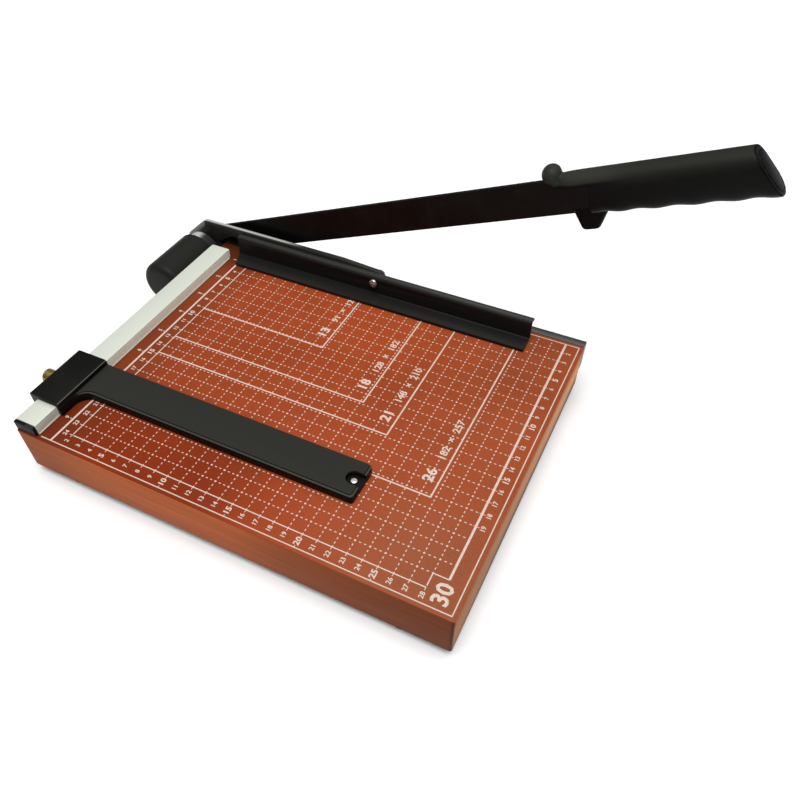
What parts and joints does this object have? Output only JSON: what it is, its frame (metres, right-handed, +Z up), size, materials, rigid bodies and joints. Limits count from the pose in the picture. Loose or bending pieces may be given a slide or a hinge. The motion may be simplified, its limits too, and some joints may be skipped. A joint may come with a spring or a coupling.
{
  "type": "paper cutter",
  "caption": "Desk paper cutter: wooden base with a ruled top, counter-blade on the back edge, hinged blade arm with grip, press bar on a lever and a sliding paper stop on a rail.",
  "frame": {"origin": "middle of the cutter's footprint, on the plane that its four feet stand on", "axes": "+X towards the handle's end of the board, +Y towards the cutting edge at the back, +Z up"},
  "size_m": [0.4456, 0.2644, 0.2042],
  "materials": {
    "printed_wood": "satin varnish over a white printed scale",
    "dark_steel": "ground, dark oiled",
    "aluminium": "satin anodised",
    "black_plastic": "fine moulded satin",
    "rubber": "matt",
    "zinc": "bright cast zinc",
    "bright_steel": "bright plated",
    "black_enamel": "semi-gloss black enamel",
    "brass": "turned, knurled"
  },
  "bodies": {
    "base": {"base_board": "printed_wood", "cutting_strip": "dark_steel", "rail": "aluminium", "rail_front_cap": "black_plastic", "rail_back_cap": "black_plastic", "spring_cover": "black_plastic", "foot_1": "rubber", "foot_2": "rubber", "foot_3": "rubber", "foot_4": "rubber", "hinge_bracket": "zinc", "strip_screw_1": "bright_steel", "strip_screw_2": "bright_steel", "strip_screw_3": "bright_steel", "strip_screw_4": "bright_steel", "rail_screw_1": "bright_steel", "rail_screw_2": "bright_steel", "rail_screw_3": "bright_steel", "foot_screw_1": "bright_steel", "foot_screw_2": "bright_steel", "foot_screw_3": "bright_steel", "foot_screw_4": "bright_steel", "bracket_screw_1": "bright_steel", "bracket_screw_2": "bright_steel", "bracket_screw_3": "bright_steel", "pivot_bolt": "bright_steel", "pivot_washer": "bright_steel", "spring_back_washer": "bright_steel", "spring_front_washer": "bright_steel", "pivot_spring": "bright_steel", "pivot_nut": "bright_steel"},
    "blade": {"blade_arm": "black_enamel", "handle": "black_plastic", "handle_end_cap": "black_plastic", "handle_screw_1": "bright_steel", "handle_screw_2": "bright_steel"},
    "clamp": {"clamp_lever": "black_enamel", "bar_screw": "bright_steel", "bar_spacer": "bright_steel", "bar_nut": "bright_steel"},
    "bar": {"press_bar": "black_enamel"},
    "stop": {"stop_body": "black_plastic", "stop_insert": "brass", "stop_end_screw": "bright_steel"},
    "thumbscrew": {"stop_thumbscrew": "brass"}
  },
  "joints": [
    {"name": "blade_swing", "type": "hinge", "parent": "base", "child": "blade", "pos_m": [-0.2033, 0.12075, 0.0327], "axis": [0, -1, 0], "range_deg": [-20.9, 54.1]},
    {"name": "clamp_lift", "type": "hinge", "parent": "base", "child": "clamp", "pos_m": [-0.2033, 0.12075, 0.0327], "axis": [0, -1, 0], "range_deg": [0, 20]},
    {"name": "press_bar_tilt", "type": "hinge", "parent": "clamp", "child": "bar", "pos_m": [-0.031, 0.10475, 0.0535], "axis": [0, -1, 0], "range_deg": [-20, 0]},
    {"name": "stop_slide", "type": "slide", "parent": "base", "child": "stop", "axis": [0, 1, 0], "range_m": [-0.02, 0.105]},
    {"name": "thumbscrew_turn", "type": "hinge", "parent": "stop", "child": "thumbscrew", "pos_m": [-0.1948, -0.08525, 0.046], "axis": [1, 0, 0], "continuous": true}
  ],
  "couplings": [
    {"joint": "press_bar_tilt", "follows": "clamp_lift", "ratio": -1}
  ]
}
